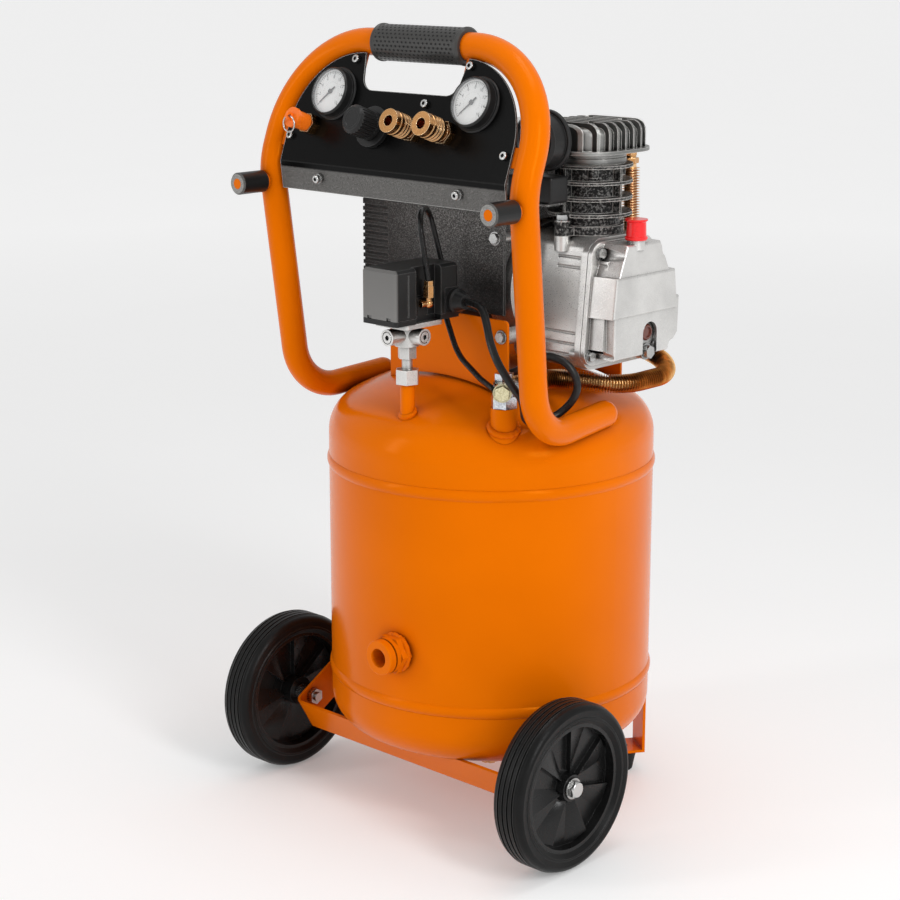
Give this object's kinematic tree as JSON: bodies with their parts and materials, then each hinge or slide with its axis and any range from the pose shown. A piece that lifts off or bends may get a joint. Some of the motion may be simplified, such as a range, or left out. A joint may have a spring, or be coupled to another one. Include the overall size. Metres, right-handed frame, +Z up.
{
  "type": "upright portable piston air compressor",
  "caption": "Upright wheeled air compressor: domed tank, tube handle with gauge panel and couplers, and a direct-drive finned piston pump on top.",
  "frame": {"origin": "middle of the bounding box in plan, on the floor under the wheels and rear feet", "axes": "+Z up, -Y towards the front where the wheels and the control panel are, +X to the pump's crankcase cover"},
  "size_m": [0.4478, 0.3797, 0.838],
  "materials": {
    "orange_paint": "gloss",
    "black_panel_paint": "semi-gloss",
    "tyre_rubber": "matte",
    "foot_rubber": "matte",
    "grip_rubber": "textured",
    "black_plastic": "satin",
    "switch_plastic": "satin",
    "sleeve_plastic": "satin",
    "rocker_plastic": "gloss",
    "red_plastic": "gloss",
    "orange_plastic": "gloss",
    "zinc_steel": "bright",
    "shaft_steel": "ground",
    "motor_iron": "satin",
    "cast_alloy": "as cast",
    "head_alloy": "as cast with bright rib edges",
    "cast_iron": "rough, blackened",
    "brass": "turned",
    "brass_knob": "knurled",
    "copper_tube": "finned, bronze colour",
    "dial_white": "printed",
    "needle_black": "matte",
    "clear_lens": "clear",
    "sight_lens": "tinted window over oil",
    "black_shroud": "fine texture",
    "black_tube": "smooth",
    "cable_rubber": "satin"
  },
  "bodies": {
    "machine": {"tank_shell": "orange_paint", "tank_top_head": "orange_paint", "tank_bottom_head": "orange_paint", "tank_sockets": "orange_paint", "drain_valve": "brass", "wheel_strap": "orange_paint", "wheel_bolts": "zinc_steel", "rear_foot_brackets": "orange_paint", "rear_feet": "foot_rubber", "handle_frame": "orange_paint", "handle_grip": "grip_rubber", "hook_sleeves": "sleeve_plastic", "control_panel": "black_panel_paint", "panel_screws": "zinc_steel", "inlet_manifold": "cast_alloy", "outlet_manifold": "cast_alloy", "gauge_cases": "black_plastic", "gauge_dials": "dial_white", "gauge_lenses": "clear_lens", "regulator_body": "black_plastic", "coupler_bodies": "brass", "safety_valve_body": "brass", "switch_manifold": "cast_alloy", "pressure_switch_base": "black_plastic", "pressure_switch_cover": "switch_plastic", "unloader_valve": "brass", "unloader_tube": "black_tube", "check_valve": "brass", "pump_saddle": "orange_paint", "crankcase": "cast_alloy", "crankcase_cover": "cast_alloy", "sight_glass": "sight_lens", "pump_bolts": "zinc_steel", "cylinder": "cast_iron", "cylinder_head": "head_alloy", "air_filter": "black_plastic", "discharge_tube": "copper_tube", "shaft_bearings": "shaft_steel", "motor_stator": "motor_iron", "motor_shroud": "black_shroud", "capacitor_box": "black_plastic", "motor_cable": "cable_rubber"},
    "right_wheel": {"right_tyre": "tyre_rubber", "right_hub": "black_plastic"},
    "left_wheel": {"left_tyre": "tyre_rubber", "left_hub": "black_plastic"},
    "regulator_knob": {"regulator_knob": "black_plastic"},
    "tank_needle": {"tank_gauge_needle": "needle_black"},
    "outlet_needle": {"outlet_gauge_needle": "needle_black"},
    "left_sleeve": {"left_coupler_sleeve": "brass"},
    "right_sleeve": {"right_coupler_sleeve": "brass"},
    "safety_cap": {"safety_valve_cap": "orange_plastic"},
    "safety_ring": {"safety_valve_ring": "zinc_steel"},
    "drain_knob": {"drain_knob": "brass_knob"},
    "crankshaft": {"crankshaft": "shaft_steel"},
    "piston": {"piston": "cast_alloy"},
    "connecting_rod": {"connecting_rod": "cast_alloy"},
    "oil_plug": {"oil_plug": "red_plastic"},
    "power_rocker": {"power_rocker": "rocker_plastic"}
  },
  "joints": [
    {"name": "right_wheel_spin", "type": "hinge", "parent": "machine", "child": "right_wheel", "pos_m": [0.203, -0.10135, 0.0885], "axis": [1, 0, 0], "continuous": true},
    {"name": "left_wheel_spin", "type": "hinge", "parent": "machine", "child": "left_wheel", "pos_m": [-0.203, -0.10135, 0.0885], "axis": [1, 0, 0], "continuous": true},
    {"name": "regulator_knob_turn", "type": "hinge", "parent": "machine", "child": "regulator_knob", "pos_m": [-0.032, -0.14577, 0.74282], "axis": [0, -0.9397, 0.342], "continuous": true},
    {"name": "tank_needle_turn", "type": "hinge", "parent": "machine", "child": "tank_needle", "pos_m": [-0.098, -0.1256, 0.769], "axis": [0, 0.9397, -0.342], "range_deg": [0, 270], "stiffness_Nm_per_rad": 0.0006, "springref_deg": -28.65},
    {"name": "outlet_needle_turn", "type": "hinge", "parent": "machine", "child": "outlet_needle", "pos_m": [0.098, -0.1256, 0.769], "axis": [0, 0.9397, -0.342], "range_deg": [0, 270], "stiffness_Nm_per_rad": 0.0006, "springref_deg": -28.65},
    {"name": "left_coupler_release", "type": "slide", "parent": "machine", "child": "left_sleeve", "axis": [0, 0.9397, -0.342], "range_m": [0, 0.003], "stiffness_N_per_m": 400, "springref_m": -0.003},
    {"name": "right_coupler_release", "type": "slide", "parent": "machine", "child": "right_sleeve", "axis": [0, 0.9397, -0.342], "range_m": [0, 0.003], "stiffness_N_per_m": 400, "springref_m": -0.003},
    {"name": "safety_valve_pull", "type": "slide", "parent": "machine", "child": "safety_cap", "axis": [0, -0.9397, 0.342], "range_m": [0, 0.003], "stiffness_N_per_m": 500, "springref_m": -0.003},
    {"name": "safety_ring_swing", "type": "hinge", "parent": "safety_cap", "child": "safety_ring", "pos_m": [-0.121, -0.16331, 0.74548], "axis": [1, 0, 0], "range_deg": [-110, 0]},
    {"name": "drain_knob_turn", "type": "hinge", "parent": "machine", "child": "drain_knob", "pos_m": [0, 0.01265, 0.035], "axis": [0, 0, 1], "range_deg": [0, 360]},
    {"name": "shaft_spin", "type": "hinge", "parent": "machine", "child": "crankshaft", "pos_m": [0, 0.03265, 0.57], "axis": [1, 0, 0], "continuous": true},
    {"name": "piston_slide", "type": "slide", "parent": "machine", "child": "piston", "axis": [0, 0, 1], "range_m": [0, 0.04]},
    {"name": "rod_swing", "type": "hinge", "parent": "piston", "child": "connecting_rod", "pos_m": [0.116, 0.03265, 0.644], "axis": [1, 0, 0], "range_deg": [-12.2, 12.2]},
    {"name": "oil_plug_lift", "type": "slide", "parent": "machine", "child": "oil_plug", "axis": [0, 0, 1], "range_m": [0, 0.02]},
    {"name": "power_rocker_tilt", "type": "hinge", "parent": "machine", "child": "power_rocker", "pos_m": [-0.0025, -0.12935, 0.58175], "axis": [0, 0, 1], "range_deg": [-6, 6]}
  ]
}
